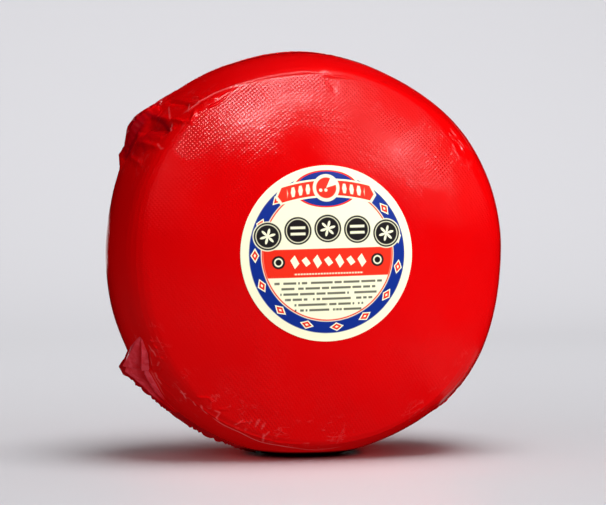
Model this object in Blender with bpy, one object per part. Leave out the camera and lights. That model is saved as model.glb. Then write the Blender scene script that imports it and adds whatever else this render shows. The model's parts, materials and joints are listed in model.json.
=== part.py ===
"""A whole ball of cheese: a thick wheel with two domed faces, shrink-wrapped in a red film bag.

It stands on its rim, on a small flat spot, and has a round paper label on its front face.
Metres, +Z up. The wheel's axis runs along Y and the labelled face looks along -Y. The origin is on the
floor under the middle of the whole thing. Angles run round the wheel from +X, anticlockwise as seen
from the front, and "depth" is the distance from the middle plane, along Y.
"""

import math
from typing import NamedTuple

import bmesh
import bpy
import numpy as np
from mathutils import Vector

# The wheel in its film
RIM_RADIUS = 0.1128  # at the middle of the rim
EDGE_RADIUS = 0.1025  # of the soft edge where a face turns into the rim
EDGE_DEPTH = 0.0372  # of that edge, from the middle plane
DOME_RISE = 0.0226  # of a face's middle above its edge
FULLNESS = 2.2  # power of the dome's and the rim's curve: 2 is a parabola, and more is fuller
EDGE_BEVEL = 0.0022  # rounding of that edge
FOOT_DROP = 0.1120  # from the wheel's axis to the flat spot that it stands on

# The film's seams, which stand up along the middle of the rim
SEAM_BASE = 0.0012  # width at the foot of the fin
SEAM_TIP = 0.0006  # width along its edge
SEAM_WAVE = 0.0009  # how far the edge wanders to either side
SEAM_WAVES_EVERY = 9.0  # degrees
FLAP_WIDTH = 0.0045  # of the bunched film at the corners of the bag
FLAP_SPAN = 9.0  # degrees from a corner's tip to where the seam has its plain width again

# The film between a corner of the bag and the rim
TENT_HALF_WIDTH = 0.027  # across the rim, from the middle plane
TENT_SLACK = 1.5  # power of its fall across the rim: 1 is a straight ridge
PLEAT_DEPTH = 0.0009
PLEAT_REACH = 0.016  # from the corner's tip
PLEATS_ROUND = 9  # folds in a full turn about the tip

# The paper label
LABEL_RADIUS = 0.0472
LABEL_THICKNESS = 0.0003
LABEL_GAP = 0.0003  # to the film
LABEL_ASIDE = 0.0006  # its middle from the wheel's axis, to +X
LABEL_UP = 0.0019  # and upwards

# How finely the surfaces are divided
WHEEL_STEPS = 120  # round the wheel
DOME_RINGS = (0.16, 0.33, 0.49, 0.63, 0.76, 0.87, 0.95)  # shares of the edge's radius
RIM_RINGS = (0.94, 0.82, 0.66, 0.49, 0.32, 0.15)  # shares of the edge's depth
CORNER_SPAN = 17.0  # degrees each side of a corner's tip that are divided more finely
LABEL_STEPS = 72
LABEL_RINGS = 5
SHARP_ANGLE = 40.0  # degrees between faces from which their edge stays sharp
MERGE = 1e-6


class Corner(NamedTuple):
    """A corner of the bag, whose tip pulls the film away from the round rim."""

    angle: float
    pull: float  # how far the tip stands off
    seam_reach: float  # degrees from the tip to where the film meets the rim again, along the seam
    side_reach: float  # and along the side without a seam
    seam_way: int  # 1 where the seam runs off anticlockwise, -1 where it runs off clockwise


class Bulge(NamedTuple):
    """A place where the cheese is out of round. A negative height is a flat."""

    angle: float
    half_width: float
    height: float


UPPER_LEFT = Corner(144, 0.0060, seam_reach=50, side_reach=24, seam_way=-1)
LOWER_LEFT = Corner(-148, 0.0034, seam_reach=30, side_reach=5, seam_way=1)
LOWER_RIGHT = Corner(-40, 0.0026, seam_reach=26, side_reach=22, seam_way=-1)
UPPER_RIGHT = Corner(36, 0.0008, seam_reach=20, side_reach=14, seam_way=1)
CORNERS = (UPPER_LEFT, LOWER_LEFT, LOWER_RIGHT, UPPER_RIGHT)

# Each stretch of fin as (angle, height). The two left corners end in a flap that stands up further.
SEAMS = (
    ((36, 0.0006), (137, 0.0012), (140, 0.0040), (144, 0.0032), (148, 0.0014), (152, 0.0028)),
    ((-151, 0.0062), (-147, 0.0062), (-143, 0.0030), (-114, 0.0026)),
    ((-69, 0.0016), (-39, 0.0020)),
)

BULGES = (
    Bulge(180, half_width=22, height=-0.0020),
    Bulge(-3, half_width=15, height=-0.0010),
    Bulge(66, half_width=22, height=-0.0018),
    Bulge(-38, half_width=20, height=0.0027),
    Bulge(-90, half_width=30, height=0.0009),
)


def dome_depth(radius):
    """Depth of the domed face at this distance from the wheel's axis."""
    return EDGE_DEPTH + DOME_RISE * (1 - (radius / EDGE_RADIUS) ** FULLNESS)


def rim_radius(depth):
    """Radius of the round rim at this depth."""
    return EDGE_RADIUS + (RIM_RADIUS - EDGE_RADIUS) * (1 - (abs(depth) / EDGE_DEPTH) ** FULLNESS)


def turn_from(start, angle):
    """Degrees from one angle to another, the short way, anticlockwise positive."""
    return (angle - start + 180) % 360 - 180


def out_of_round(angle):
    """How far the cheese itself is off the round at this angle."""
    return sum(
        bulge.height * math.exp(-((turn_from(bulge.angle, angle) / bulge.half_width) ** 2))
        for bulge in BULGES
    )


def tent_height(angle, depth):
    """How far the corners of the bag hold the film off the rim here."""
    height = 0.0
    for corner in CORNERS:
        along_seam = turn_from(corner.angle, angle) * corner.seam_way
        reach = corner.seam_reach if along_seam > 0 else corner.side_reach
        height += corner.pull * max(0.0, 1 - abs(along_seam) / reach) ** 2
    return height * max(0.0, 1 - abs(depth) / TENT_HALF_WIDTH) ** TENT_SLACK


def pleat_height(angle, depth):
    """Small folds that fan out from each corner's tip. They fade out at the tip and with distance."""
    height = 0.0
    for corner in CORNERS:
        along = math.radians(turn_from(corner.angle, angle)) * RIM_RADIUS
        away = math.hypot(along, depth) / PLEAT_REACH
        fold = math.sin(PLEATS_ROUND * math.atan2(depth, along))
        strength = corner.pull / UPPER_LEFT.pull
        height += PLEAT_DEPTH * strength * fold * away * math.exp(1 - away**2)
    return height


def seam_height(angle):
    """Height of the fin at this angle, which is that of the nearest seam's end between the seams."""
    angles, heights = zip(*sorted(point for seam in SEAMS for point in seam))
    return float(np.interp(angle, angles, heights))


def in_seam(angle):
    """Whether a fin stands here."""
    return any(seam[0][0] < angle < seam[-1][0] for seam in SEAMS)


def flap_width(angle):
    """How many times wider than a plain seam the bunched film is, near the corners of the bag."""
    nearest = min(abs(turn_from(corner.angle, angle)) for corner in CORNERS)
    return 1 + (FLAP_WIDTH / SEAM_BASE - 1) * max(0.0, 1 - nearest / FLAP_SPAN)


def angle_of(point):
    """The angle round the wheel's axis, in degrees."""
    return math.degrees(math.atan2(point.z, point.x))


def pushed_out(point, distance):
    """The point moved straight away from the wheel's axis. On the axis it stays where it is."""
    return point + Vector((point.x, 0, point.z)).normalized() * distance


def half_profile():
    """(radius, depth) from the middle of a face out to the foot of the seam."""
    dome = [(share * EDGE_RADIUS, dome_depth(share * EDGE_RADIUS)) for share in (0, *DOME_RINGS)]
    rim = [(rim_radius(share * EDGE_DEPTH), share * EDGE_DEPTH) for share in RIM_RINGS]
    seam_foot = (rim_radius(SEAM_BASE / 2), SEAM_BASE / 2)
    return [*dome, (EDGE_RADIUS, EDGE_DEPTH), *rim, seam_foot]


def spin_profile(points, steps):
    """A closed body turned about Y from an outline that starts and ends on that axis."""
    mesh = bmesh.new()
    verts = [mesh.verts.new((radius, y, 0)) for radius, y in points]
    edges = [mesh.edges.new(pair) for pair in zip(verts, verts[1:])]
    bmesh.ops.spin(
        mesh,
        geom=[*verts, *edges],
        cent=(0, 0, 0),
        axis=(0, 1, 0),
        angle=math.tau,
        steps=steps,
        use_merge=True,
    )
    bmesh.ops.remove_doubles(mesh, verts=mesh.verts, dist=MERGE)
    bmesh.ops.recalc_face_normals(mesh, faces=mesh.faces)
    return mesh


def soften_edges(mesh):
    """Rounds the ring where each face turns into the rim."""
    ring = [
        edge
        for edge in mesh.edges
        if all(abs(abs(vert.co.y) - EDGE_DEPTH) < MERGE for vert in edge.verts)
    ]
    bmesh.ops.bevel(
        mesh, geom=ring, offset=EDGE_BEVEL, segments=2, profile=0.5, affect="EDGES", clamp_overlap=True
    )


def raise_seams(mesh):
    """Draws the fins up out of the narrow band round the middle of the rim."""
    band = [vert for vert in mesh.verts if abs(vert.co.y) < SEAM_BASE]
    middles = {face: face.calc_center_median() for face in mesh.faces}
    strip = [face for face, middle in middles.items() if abs(middle.y) < MERGE and in_seam(angle_of(middle))]
    for vert in band:
        vert.co.y *= flap_width(angle_of(vert.co))
    drawn = bmesh.ops.extrude_face_region(mesh, geom=strip)
    bmesh.ops.delete(mesh, geom=strip, context="FACES_KEEP_BOUNDARY")
    for vert in (item for item in drawn["geom"] if isinstance(item, bmesh.types.BMVert)):
        angle = angle_of(vert.co)
        vert.co = pushed_out(vert.co, seam_height(angle))
        vert.co.y *= SEAM_TIP / SEAM_BASE
        vert.co.y += SEAM_WAVE * math.sin(math.tau * angle / SEAM_WAVES_EVERY)


def divide_corners(mesh):
    """Splits the faces round the two large corners, so that they hold the folds."""
    for corner in (UPPER_LEFT, LOWER_LEFT):
        near = [
            edge
            for edge in mesh.edges
            if all(
                abs(turn_from(corner.angle, angle_of(vert.co))) < CORNER_SPAN
                and FLAP_WIDTH < abs(vert.co.y) < TENT_HALF_WIDTH
                for vert in edge.verts
            )
        ]
        bmesh.ops.subdivide_edges(mesh, edges=near, cuts=1, use_grid_fill=True)


def pull_film(mesh):
    """Takes the round body out of round and stands the film off at the bag's corners."""
    for vert in mesh.verts:
        angle = angle_of(vert.co)
        radius = math.hypot(vert.co.x, vert.co.z)
        outer_share = min(1.0, radius / EDGE_RADIUS) ** 2
        lift = out_of_round(angle) * outer_share
        if radius > EDGE_RADIUS:
            lift += tent_height(angle, vert.co.y) + pleat_height(angle, vert.co.y)
        vert.co = pushed_out(vert.co, lift)


def cut_foot(mesh):
    """Cuts the rim off level, where the wheel's weight presses it flat."""
    everything = [*mesh.verts, *mesh.edges, *mesh.faces]
    cut = bmesh.ops.bisect_plane(
        mesh, geom=everything, plane_co=(0, 0, -FOOT_DROP), plane_no=(0, 0, -1), clear_outer=True
    )
    rim = [item for item in cut["geom_cut"] if isinstance(item, bmesh.types.BMEdge)]
    bmesh.ops.contextual_create(mesh, geom=rim)
    bmesh.ops.recalc_face_normals(mesh, faces=mesh.faces)


def wheel_body():
    """The cheese in its film, about its own axis."""
    front = [(radius, -depth) for radius, depth in half_profile()]
    back = [(radius, depth) for radius, depth in reversed(half_profile())]
    mesh = spin_profile(front + back, WHEEL_STEPS)
    soften_edges(mesh)
    raise_seams(mesh)
    divide_corners(mesh)
    pull_film(mesh)
    cut_foot(mesh)
    return mesh


def label_body():
    """A thin disc that follows the front dome, about the wheel's axis."""
    rings = [LABEL_RADIUS * ring / LABEL_RINGS for ring in range(LABEL_RINGS + 1)]
    printed_side = [(radius, -LABEL_THICKNESS) for radius in rings]
    glued_side = [(radius, 0) for radius in reversed(rings)]
    mesh = spin_profile(printed_side + glued_side, LABEL_STEPS)
    for vert in mesh.verts:
        vert.co.x += LABEL_ASIDE
        vert.co.z += LABEL_UP
        vert.co.y -= dome_depth(math.hypot(vert.co.x, vert.co.z)) + LABEL_GAP
    return mesh


def plain_material(name, colour, roughness):
    """A Principled BSDF of one colour."""
    material = bpy.data.materials.new(name)
    material.use_nodes = True
    material.diffuse_color = (*colour, 1)
    shader = material.node_tree.nodes["Principled BSDF"]
    shader.inputs["Base Color"].default_value = (*colour, 1)
    shader.inputs["Roughness"].default_value = roughness
    shader.inputs["Metallic"].default_value = 0
    return material


def add_piece(name, mesh, material, parent):
    """One named object from a bmesh, shaded smooth except at true corners."""
    data = bpy.data.meshes.new(name)
    mesh.to_mesh(data)
    mesh.free()
    data.materials.append(material)
    data.shade_smooth()
    data.set_sharp_from_angle(angle=math.radians(SHARP_ANGLE))
    piece = bpy.data.objects.new(name, data)
    piece.parent = parent
    bpy.context.scene.collection.objects.link(piece)
    return piece


def middle_of(pieces, way):
    """The middle of the box round all the pieces, along one axis, from their parent."""
    places = [corner[way] for piece in pieces for corner in piece.bound_box]
    return (min(places) + max(places)) / 2


def main():
    for thing in list(bpy.data.objects):
        bpy.data.objects.remove(thing)
    axis = bpy.data.objects.new("wheel_axis", None)
    bpy.context.scene.collection.objects.link(axis)
    film = plain_material("red_film", colour=(0.60, 0.002, 0.004), roughness=0.32)
    paper = plain_material("label_paper", colour=(0.90, 0.84, 0.66), roughness=0.45)
    pieces = [
        add_piece("wrapped_wheel", wheel_body(), film, axis),
        add_piece("label", label_body(), paper, axis),
    ]
    axis.location = (-middle_of(pieces, way=0), -middle_of(pieces, way=1), FOOT_DROP)


main()
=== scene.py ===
"""The looks of a ball of cheese: a domed wheel in tight red film, with seams, puckered corners and a label.

Run as a script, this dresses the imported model, adds the studio and places the camera. Everything is in
metres in the model's own frame: +Z up, the wheel's axis along Y, the labelled face towards -Y.

A place on the film is given by its angle round the wheel, in degrees anticlockwise from +X as seen from
the front, and by how far it is across from the seam line in the middle of the rim, in metres along the
surface, positive towards the labelled face.
"""

import json
import math
from typing import NamedTuple

import bpy
import numpy as np
from bpy.props import FloatProperty, FloatVectorProperty, PointerProperty
from bpy.types import Operator, Panel, PropertyGroup
from mathutils import Matrix, Vector

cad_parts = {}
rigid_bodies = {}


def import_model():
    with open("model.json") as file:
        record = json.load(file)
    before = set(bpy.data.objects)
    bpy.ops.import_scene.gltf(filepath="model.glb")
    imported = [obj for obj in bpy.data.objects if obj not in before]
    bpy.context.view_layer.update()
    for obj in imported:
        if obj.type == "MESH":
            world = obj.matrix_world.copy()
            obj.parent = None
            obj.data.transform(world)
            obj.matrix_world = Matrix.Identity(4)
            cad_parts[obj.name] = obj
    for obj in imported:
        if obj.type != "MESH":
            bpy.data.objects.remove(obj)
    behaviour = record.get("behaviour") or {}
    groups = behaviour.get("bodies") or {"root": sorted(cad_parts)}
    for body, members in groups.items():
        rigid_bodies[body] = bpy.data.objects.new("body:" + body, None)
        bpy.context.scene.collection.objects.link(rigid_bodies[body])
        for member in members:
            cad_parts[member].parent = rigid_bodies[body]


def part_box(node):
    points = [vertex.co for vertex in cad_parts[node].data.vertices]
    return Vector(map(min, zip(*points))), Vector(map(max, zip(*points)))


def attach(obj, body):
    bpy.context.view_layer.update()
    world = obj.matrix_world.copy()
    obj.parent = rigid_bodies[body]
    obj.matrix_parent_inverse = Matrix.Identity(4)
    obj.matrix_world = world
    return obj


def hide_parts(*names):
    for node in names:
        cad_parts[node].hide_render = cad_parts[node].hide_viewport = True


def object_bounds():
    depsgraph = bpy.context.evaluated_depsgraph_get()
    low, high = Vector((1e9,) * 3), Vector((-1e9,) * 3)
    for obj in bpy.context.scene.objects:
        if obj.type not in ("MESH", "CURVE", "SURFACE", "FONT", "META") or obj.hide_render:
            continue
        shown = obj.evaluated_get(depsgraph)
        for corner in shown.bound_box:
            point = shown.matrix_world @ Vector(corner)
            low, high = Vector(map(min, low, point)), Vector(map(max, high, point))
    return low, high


bl_info = {
    "name": "Film-wrapped ball of cheese",
    "version": (1, 0, 0),
    "blender": (4, 5, 0),
    "location": "View3D > Sidebar > Cheese",
    "description": "Dresses a ball of cheese in red film with a printed label, and lights it",
    "category": "Object",
}

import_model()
CAD_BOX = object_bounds()
MM = 0.001

# The wheel's form, as in the model's source
RIM_RADIUS = 0.1128
EDGE_RADIUS = 0.1025
EDGE_DEPTH = 0.0372
DOME_RISE = 0.0226
FULLNESS = 2.2
FOOT_DROP = 0.1120
# (degrees, metres to each side of the face's edge over which the surface is rounded), by angle
EDGE_ROUNDING = (
    (-180, 9.0 * MM),
    (-150, 7.0 * MM),
    (-125, 3.0 * MM),
    (-60, 3.0 * MM),
    (-35, 6.0 * MM),
    (40, 6.0 * MM),
    (62, 1.6 * MM),
    (128, 1.6 * MM),
    (148, 6.0 * MM),
    (180, 9.0 * MM),
)
LABEL_RADIUS = 0.0472
LABEL_ASIDE = 0.0006
LABEL_UP = 0.0019
LABEL_THICKNESS = 0.12 * MM
LABEL_UNDER, LABEL_OVER = 0.08 * MM, 0.22 * MM  # how far its two faces stand off the film

LABEL_LOW, LABEL_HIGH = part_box("label")
WHEEL_LOW, WHEEL_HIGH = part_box("wrapped_wheel")
AXIS_X = (LABEL_LOW[0] + LABEL_HIGH[0]) / 2 - LABEL_ASIDE
AXIS_Y = (WHEEL_LOW[1] + WHEEL_HIGH[1]) / 2
AXIS_Z = FOOT_DROP

# How finely the film is divided
FILM_STEPS = 500
FRONT_ROWS = ((0, 23), (28, 32), (46, 12), (60, 30), (145, 0))  # (millimetres across, rows up to the next)
BACK_ROWS = ((0, 12), (33, 10), (46, 6), (60, 18), (145, 0))
DENSE_SPANS = ((118, 158), (-160, -102))


def paint(red, green, blue):
    """A colour as a screen shows it, 0 to 255, as the shaders' linear values."""
    shares = (red / 255, green / 255, blue / 255)
    return tuple(s / 12.92 if s <= 0.04045 else ((s + 0.055) / 1.055) ** 2.4 for s in shares)


class Corner(NamedTuple):
    """A corner of the bag, whose tip pulls the film away from the round rim."""

    angle: float
    pull: float
    seam_reach: float
    side_reach: float
    seam_way: int
    pleats: float  # height of the folds that fan out from it
    pleat_reach: float


class Bulge(NamedTuple):
    """A place where the cheese is out of round."""

    angle: float
    half_width: float
    height: float


class Fold(NamedTuple):
    """A crease in the film along a few places (angle, millimetres across). A negative height is a groove."""

    places: list
    width: float
    height: float


def fold_table(*rows):
    """Creases from rows of their width, height and places, all in millimetres and degrees."""
    return tuple(Fold(places, width * MM, height * MM) for width, height, *places in rows)


def mark_table(*rows):
    """Marks from rows of their width in millimetres, strength as a share, and places."""
    return tuple(Fold(places, width * MM, share) for width, share, *places in rows)


CORNERS = (
    Corner(144, 6.0 * MM, 50, 24, -1, pleats=0.55 * MM, pleat_reach=24 * MM),
    Corner(-148, 3.4 * MM, 30, 5, 1, pleats=0.35 * MM, pleat_reach=18 * MM),
    Corner(-40, 2.6 * MM, 26, 22, -1, pleats=0.35 * MM, pleat_reach=14 * MM),
    Corner(36, 0.8 * MM, 20, 14, 1, pleats=0.25 * MM, pleat_reach=12 * MM),
)
TENT_HALF_WIDTH = 27 * MM
TENT_SLACK = 1.5

BULGES = (
    Bulge(180, 22, -2.0 * MM),
    Bulge(-3, 15, -1.0 * MM),
    Bulge(66, 22, -1.8 * MM),
    Bulge(-38, 20, 2.7 * MM),
    Bulge(-90, 30, 0.9 * MM),
)

# Two flaps of loose film at the left corners. Each rib crosses the flap from its foot behind, over its
# edge, to its foot in front, as (angle, millimetres across, millimetres off the round wheel)
LOWER_FLAP = (
    ((-156, 30.4, 0), (-155.8, 31.4, 0.2), (-155.5, 31.6, 0.2), (-155.2, 31.8, 0.2), (-154.9, 32, 0)),
    ((-153.4, 13.4, 0), (-152.2, 15, 1.9), (-151.6, 26.6, 0.6), (-151.2, 28.8, 2.4), (-150.5, 30.9, 0)),
    ((-152, 4.4, 0), (-150.5, 7.3, 4), (-149, 21.4, 0.6), (-148.5, 24.2, 2.9), (-147.8, 26.6, 0)),
    ((-151.2, -2.6, 0), (-149, 0, 7), (-147, 16.4, 1.9), (-146.4, 19, 2.9), (-145.6, 21.6, 0)),
    ((-151, -3, 0), (-148.5, 0, 5.6), (-146.5, 15.8, 0.6), (-146, 18.2, 1.2), (-145.4, 20.6, 0)),
    ((-150.2, -4, 0), (-147.4, 0, 7.3), (-145, 15, 1.9), (-144.4, 17.6, 1.9), (-143.6, 20, 0)),
    ((-146.8, -4.5, 0), (-144.3, 0, 5.4), (-142.4, 11, 1.6), (-141.8, 14.6, 1.9), (-141, 17.6, 0)),
    ((-141, -4, 0), (-139.4, 0, 3.7), (-138.6, 7, 1.7), (-138, 10.2, 1.5), (-137.2, 12.6, 0)),
    ((-135.4, -3.6, 0), (-134.6, 0, 2.8), (-134.2, 4, 1.2), (-133.9, 5.4, 1), (-133.5, 7, 0)),
    ((-129.4, -2, 0), (-129.4, 0, 1.2), (-129.4, 1.6, 0.6), (-129.4, 2.4, 0.4), (-129.4, 3.6, 0)),
)
UPPER_FLAP = (
    ((135.2, -3, 0), (135.2, 0, 4.6), (135.2, 3, 4.4), (135.2, 5, 4), (135.2, 8, 0)),
    ((137.6, -4, 0), (137.6, 0.6, 6.4), (137, 4.4, 6), (136.4, 7.6, 4.2), (136, 12, 0)),
    ((138.8, -5, 0), (138.8, 0, 7.7), (138.4, 5, 7.2), (138, 8, 3.6), (137.4, 14, 0)),
    ((139.8, -5, 0), (139.8, 0.6, 7.4), (139.8, 4.6, 7.3), (139.6, 7.4, 4.4), (139, 15, 0)),
    ((141.2, -5.5, 0), (141.2, 0, 9), (141.6, 4.6, 8.6), (142, 7.4, 4.4), (142.4, 13, 0)),
    ((143.6, -5.5, 0), (143.6, 0.4, 9), (144, 4, 8.2), (144.6, 6.4, 4.2), (145.4, 12, 0)),
    ((146.2, -5, 0), (146.2, -0.6, 7.4), (146.6, 3.4, 6.2), (147, 6, 3.2), (147.8, 11, 0)),
    ((148.8, -4.5, 0), (148.8, 0.6, 5.1), (149, 3.4, 4.4), (149.2, 6.2, 2.6), (149.6, 10, 0)),
    ((150.6, -4.5, 0), (150.6, -0.2, 4.4), (150.6, 3, 4.2), (150.8, 5.6, 3.2), (151, 9.6, 0)),
    ((152.2, -4, 0), (152.2, 0.6, 5), (152.2, 3, 4.6), (152.2, 5, 2.6), (152.4, 8.4, 0)),
    ((153.6, -3.4, 0), (153.6, 0, 3.6), (153.6, 2, 3.2), (153.6, 3.6, 2.2), (153.8, 6, 0)),
    ((155.4, -2, 0), (155.4, 0, 1.4), (155.4, 1, 1.2), (155.4, 1.8, 0.9), (155.4, 3, 0)),
)
FLAP_CELLS = 8  # between two ribs, and between two points of a rib
FLAP_WALL = 0.12 * MM
FLAP_LINING = 0.15 * MM  # how far a flap stays off the film under it
FLAP_TUCK = 0.4 * MM  # how deep its feet are sunk

# The sealed seam: (angle, millimetres that it stands off the round wheel), and the run of each stretch
SEAM_TOP = (
    (-152, 0.5), (-150.6, 4), (-149.4, 9.4), (-148.7, 8.6), (-148, 8.9), (-147, 9.7), (-145.6, 7.9),
    (-143.9, 6.9), (-141, 5.5), (-137.5, 4.5), (-134, 4), (-129.4, 3.3), (-121.8, 2.3), (-114, 1.9),
    (-104, 1.2), (-70, 0.6), (-67, 1.6), (-55, 2.2), (-46, 3.7), (-41, 3.6), (-38, 0.6), (34, 0.2),
    (38, 1), (70, 0.6), (110, 0.7), (128, 2.8), (135, 5.6), (138.8, 8), (141.2, 9.3), (144.6, 9.3),
    (146.8, 7.4), (149.2, 5.2), (152.1, 5.3), (154, 3.2), (156, 0.8),
)
SEAM_RUNS = ((-152.0, -104.0), (-70.0, -38.0), (34.0, 156.0))
PUCKERED_SPANS = ((36, 150), (-150, -112), (-70, -38))
SEAM_ROWS = 5
SEAM_CELL = 0.35  # degrees
SEAM_SINK = 1.2 * MM
SEAM_WALL = 0.3 * MM

# Creases that show on the film
UPPER_LEFT_FOLDS = fold_table(
    (2.2, 1, (137.4, 26), (136.2, 31), (135.6, 38), (134.2, 41), (132, 39.4), (130.2, 36.6)),
    (6.5, -2.6, (144, 7), (142, 14), (140.6, 24), (139.6, 33)),
    (3.4, 0.8, (139.6, 9), (138, 16), (137, 26)),
    (3, -0.9, (133, 6), (131.8, 18), (130.4, 30)),
    (1.8, 0.6, (130.8, 24), (129.4, 30), (127, 36), (123, 40)),
    (3, 0.9, (147.6, 9), (146.4, 20), (145.9, 34)),
    (2.6, 0.8, (151, 9), (152, 18), (152.4, 28)),
    (1.4, 0.8, (140.8, 27), (139.6, 31), (138.4, 36)),
    (1.1, 0.5, (127.6, 25), (126.9, 29), (126.2, 33)),
)
LOWER_LEFT_FOLDS = fold_table(
    (1.9, -0.9, (-154, 35), (-150, 31), (-146, 24), (-142, 21), (-138, 16)),
    (1.6, 0.8, (-152, 37), (-148.2, 31), (-144, 25), (-140, 21)),
    (1.2, 0.5, (-154.4, 38), (-153.2, 38.6)),
    (1.2, 0.6, (-152.4, 38.4), (-151, 39.4)),
    (1.2, 0.5, (-149, 36), (-147.2, 40)),
    (1.3, 0.5, (-145.8, 26), (-144.8, 31), (-144.6, 36)),
    (1.4, 0.5, (-143.6, 24), (-141.2, 28), (-138, 30)),
    (1.3, 0.5, (-140, 22), (-136.4, 24), (-132.4, 22)),
)
EDGE_FOLDS = fold_table(
    (
        1.3, 0.4, (133, 31.6), (131.6, 32.9), (128.1, 34.1), (123, 35.6), (118.4, 38), (110.5, 40.3),
        (101, 41.6), (87, 42),
    ),
    (1.1, 0.4, (127.4, 41.6), (124, 42.6), (120.4, 42.2)),
    (1.5, 0.6, (-133, 36), (-126, 37), (-114, 38), (-103, 38), (-94, 39)),
    (1.4, 0.3, (-88, 38.4), (-80, 38.2), (-71, 37.6), (-60, 38.2)),
    (1.2, 0.45, (89, 42.6), (85.5, 43.8), (81.9, 43), (79, 43.6)),
    (1.1, -0.35, (88.4, 43.6), (87, 48), (84.6, 51.6)),
    (5, -0.14, (86.6, 43), (85.6, 49), (84, 56)),
    (1.4, 0.7, (43, 41), (40.3, 41.6), (37, 40.4), (34, 42)),
    (1.2, 0.4, (39, 44), (36, 46.5), (33.5, 45.5)),
    (1.3, 0.5, (-132, 40), (-128.6, 45), (-126.4, 44)),
    (1.2, 0.4, (-124, 43), (-121.4, 46), (-120.6, 50)),
    (1.2, 0.4, (-117, 41), (-113, 46), (-112.6, 49)),
    (1.2, 0.4, (-104, 39), (-101.6, 44), (-102.4, 47)),
    (1.4, 0.5, (-52, 34), (-42, 35), (-34, 37)),
    (1.8, 0.35, (-60, 40), (-48, 41), (-38, 43)),
)
# Where the film is crinkled: from and to in degrees and in millimetres across, and how much
CRINKLED = (
    (-134, -82, 34, 52, 0.5),
    (-60, -30, 22, 44, 0.45),
    (122, 156, 2, 46, 0.2),
    (-158, -128, 10, 44, 0.35),
    (28, 46, 36, 50, 0.3),
    (-180, 180, -140, -30, 0.15),
)
# Thin lines along sharp creases, drawn in the pale colour as painted highlights: the glints these creases
# catch
GLINT_LINES = mark_table(
    (1, 1, (133.2, 31.4), (131.6, 32.9), (128.1, 34.1), (123, 35.6), (118.4, 38), (114, 39.2)),
    (0.9, 0.8, (116, 38.8), (110.5, 40.3), (104, 41.3), (98, 41.7), (92, 41.4)),
    (0.9, 0.7, (89.4, 41), (87.6, 40.9), (85.5, 43)),
    (0.8, 0.5, (133.9, 13.2), (135, 18), (137, 26)),
    (1.1, 0.9, (137.8, 29.5), (138.8, 32), (139.9, 34.6)),
    (0.9, 0.6, (130.1, 28), (131, 31), (132.2, 34)),
    (0.9, 0.4, (145, 30.5), (145.9, 35.9), (145.4, 38)),
    (1, 0.9, (-136.4, 35.3), (-134.8, 34.8), (-133, 32.8)),
    (0.9, 0.6, (-136, 33.4), (-134.8, 34.8), (-134.4, 37)),
    (0.9, 0.7, (-131.4, 36.3), (-129.5, 34.2)),
    (1, 0.6, (-128.9, 38.4), (-127.2, 35.5), (-125.2, 35)),
    (0.8, 0.5, (-124.9, 40.8), (-123, 41.8), (-122.7, 37.7), (-121.1, 35.7)),
    (0.9, 0.8, (-123.6, 35.2), (-119.7, 34.6), (-114.5, 35.4), (-110, 34.4)),
    (0.9, 0.8, (-113, 34.8), (-106.9, 32.9), (-101.2, 34.3), (-95, 33.7)),
    (0.9, 0.6, (-106.4, 33.5), (-106.9, 37.5), (-107.6, 41.9)),
    (0.8, 0.4, (-107.2, 39), (-106.1, 44)),
    (0.7, 0.4, (-113.1, 43.4), (-113.4, 49.3)),
    (0.7, 0.4, (-111, 43), (-110.8, 49.1)),
    (0.7, 0.4, (-108.9, 43), (-108.5, 48.5)),
    (0.7, 0.4, (-117, 39), (-115.4, 45)),
    (0.8, 0.4, (-98, 34), (-90, 31.6), (-82, 33)),
    (0.9, 0.5, (-153.1, 34.6), (-150.4, 36.3), (-148.6, 36)),
    (0.8, 0.5, (-151.6, 34), (-149, 31.6), (-146.6, 28.4)),
    (0.8, 0.4, (-147, 36.3), (-146, 32)),
    (0.9, 0.6, (-144.6, 26.8), (-142, 24.4), (-140, 23.2)),
    (0.8, 0.4, (-145.4, 22.6), (-142.6, 20.8), (-139.4, 17.6), (-136, 14)),
    (0.9, 0.9, (42.6, 37.6), (41.2, 38.8), (39.6, 38)),
    (0.9, 0.8, (38.6, 39.4), (37, 39), (35.6, 39.8)),
    (1.2, 0.7, (82, 20), (70, 18), (60, 19), (51.5, 21), (44, 24.5), (38, 28), (32, 33)),
)
GLINT_LINE_HEIGHT = 0.3 * MM
# Spots where the cloth print is deepest: angle, millimetres across, half its length in degrees, half its
# width in millimetres, and how much
WOVEN = (
    (135, 50, 14, 12, 0.8),
    (114, 49, 15, 10, 1),
    (96, 49, 12, 8, 0.9),
    (-111, 46, 8, 6, 0.8),
    (42, 64, 15, 13, 1.2),
    (58, 62, 12, 10, 0.8),
    (150, 60, 14, 12, 0.3),
)
# Painted shade: where folds lie over each other they are drawn darker, for the shade in them as well as their
# two layers
DOUBLED_AND_SHADED = mark_table(
    (7.5, 1.9, (139, 4), (141.4, 4.6), (143.5, 5), (145.5, 5.6), (148, 6), (153, 6.4)),
    (4, 1.3, (139.4, 2), (138.6, 12), (138.8, 22), (140.4, 34)),
    (6, 0.7, (145, 11), (147, 18), (149, 26)),
    (16, 0.6, (138, 24), (142, 18), (147, 14), (153, 12)),
)
SEED = 7
WRINKLES_AT_A_CORNER = 30
UNEVEN_WAVES = 9


def turn_from(start, angle):
    """Degrees from one angle to another, the short way, anticlockwise positive."""
    return (angle - start + 180) % 360 - 180


def band_between(value, low, high, soft):
    """1 between two values, falling to 0 over a soft margin outside them."""
    outside = np.abs(value - (low + high) / 2) - (high - low) / 2
    return np.clip(1 - outside / soft, 0, 1)


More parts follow.
